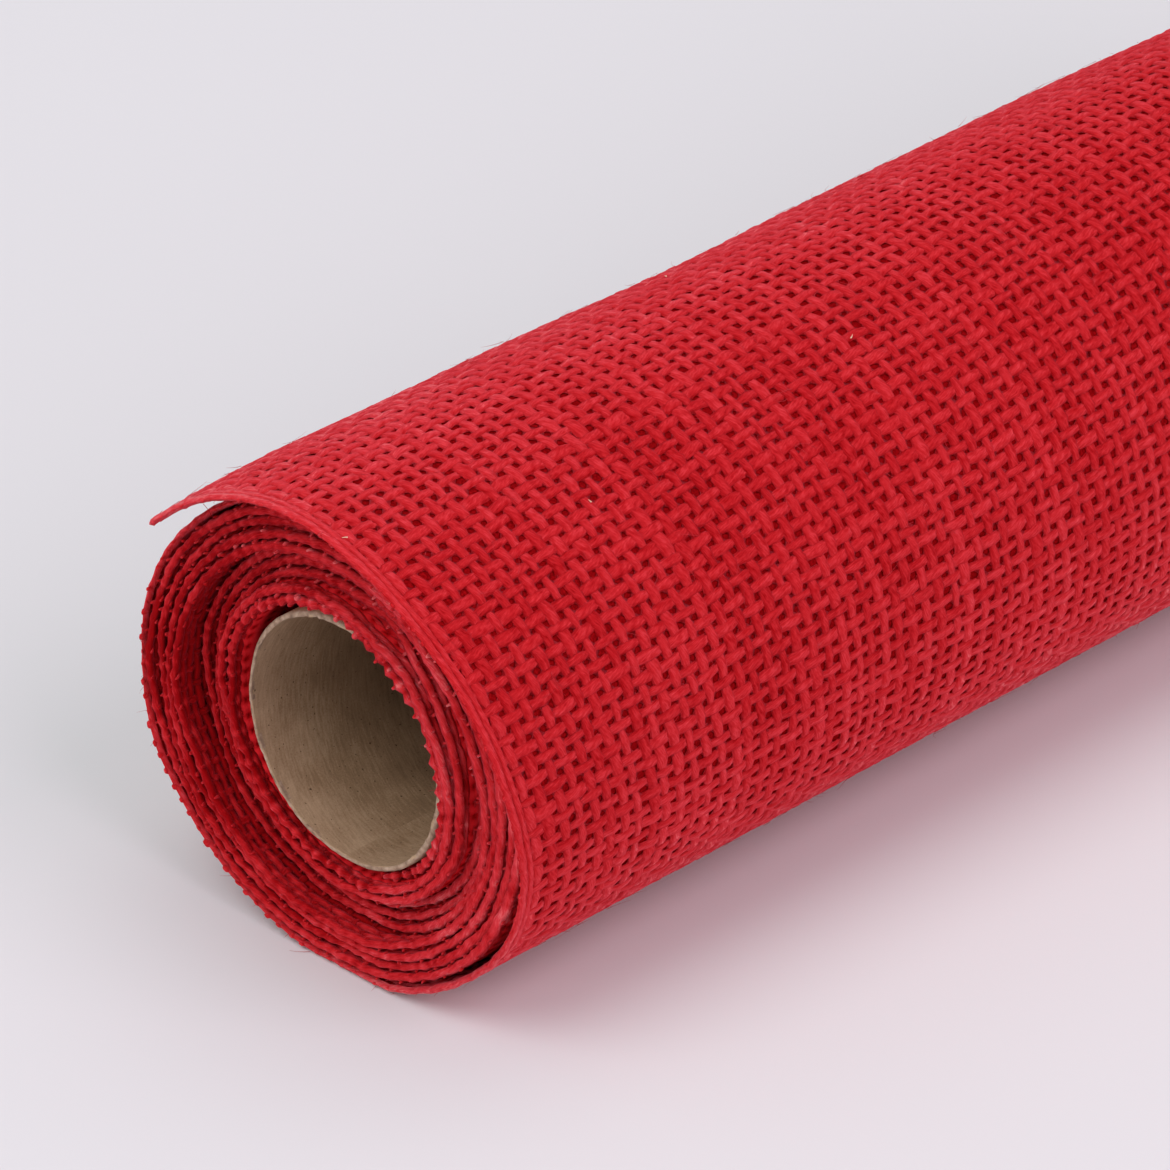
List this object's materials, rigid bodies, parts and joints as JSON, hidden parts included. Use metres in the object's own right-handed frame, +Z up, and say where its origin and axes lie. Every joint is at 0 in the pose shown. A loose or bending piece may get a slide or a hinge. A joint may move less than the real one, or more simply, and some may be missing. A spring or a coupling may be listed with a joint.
{
  "type": "roll of jute table runner",
  "caption": "Roll of open plain-weave jute cloth for a table runner, wound on a cardboard tube, with its outer turn loose at the end.",
  "frame": {"origin": "centre of the bounding box on the surface that the roll lies on", "axes": "+X along the roll away from the end in view, +Z up, -Y towards the front; the loose flap is on the +Y side"},
  "size_m": [0.3116, 0.0798, 0.0785],
  "materials": {
    "cloth": "red dyed jute in an open plain weave, matte and slightly hairy",
    "card": "plain brown cardboard, matte"
  },
  "bodies": {
    "root": {"core": "card", "roll": "cloth", "loose_end": "cloth"}
  },
  "joints": []
}
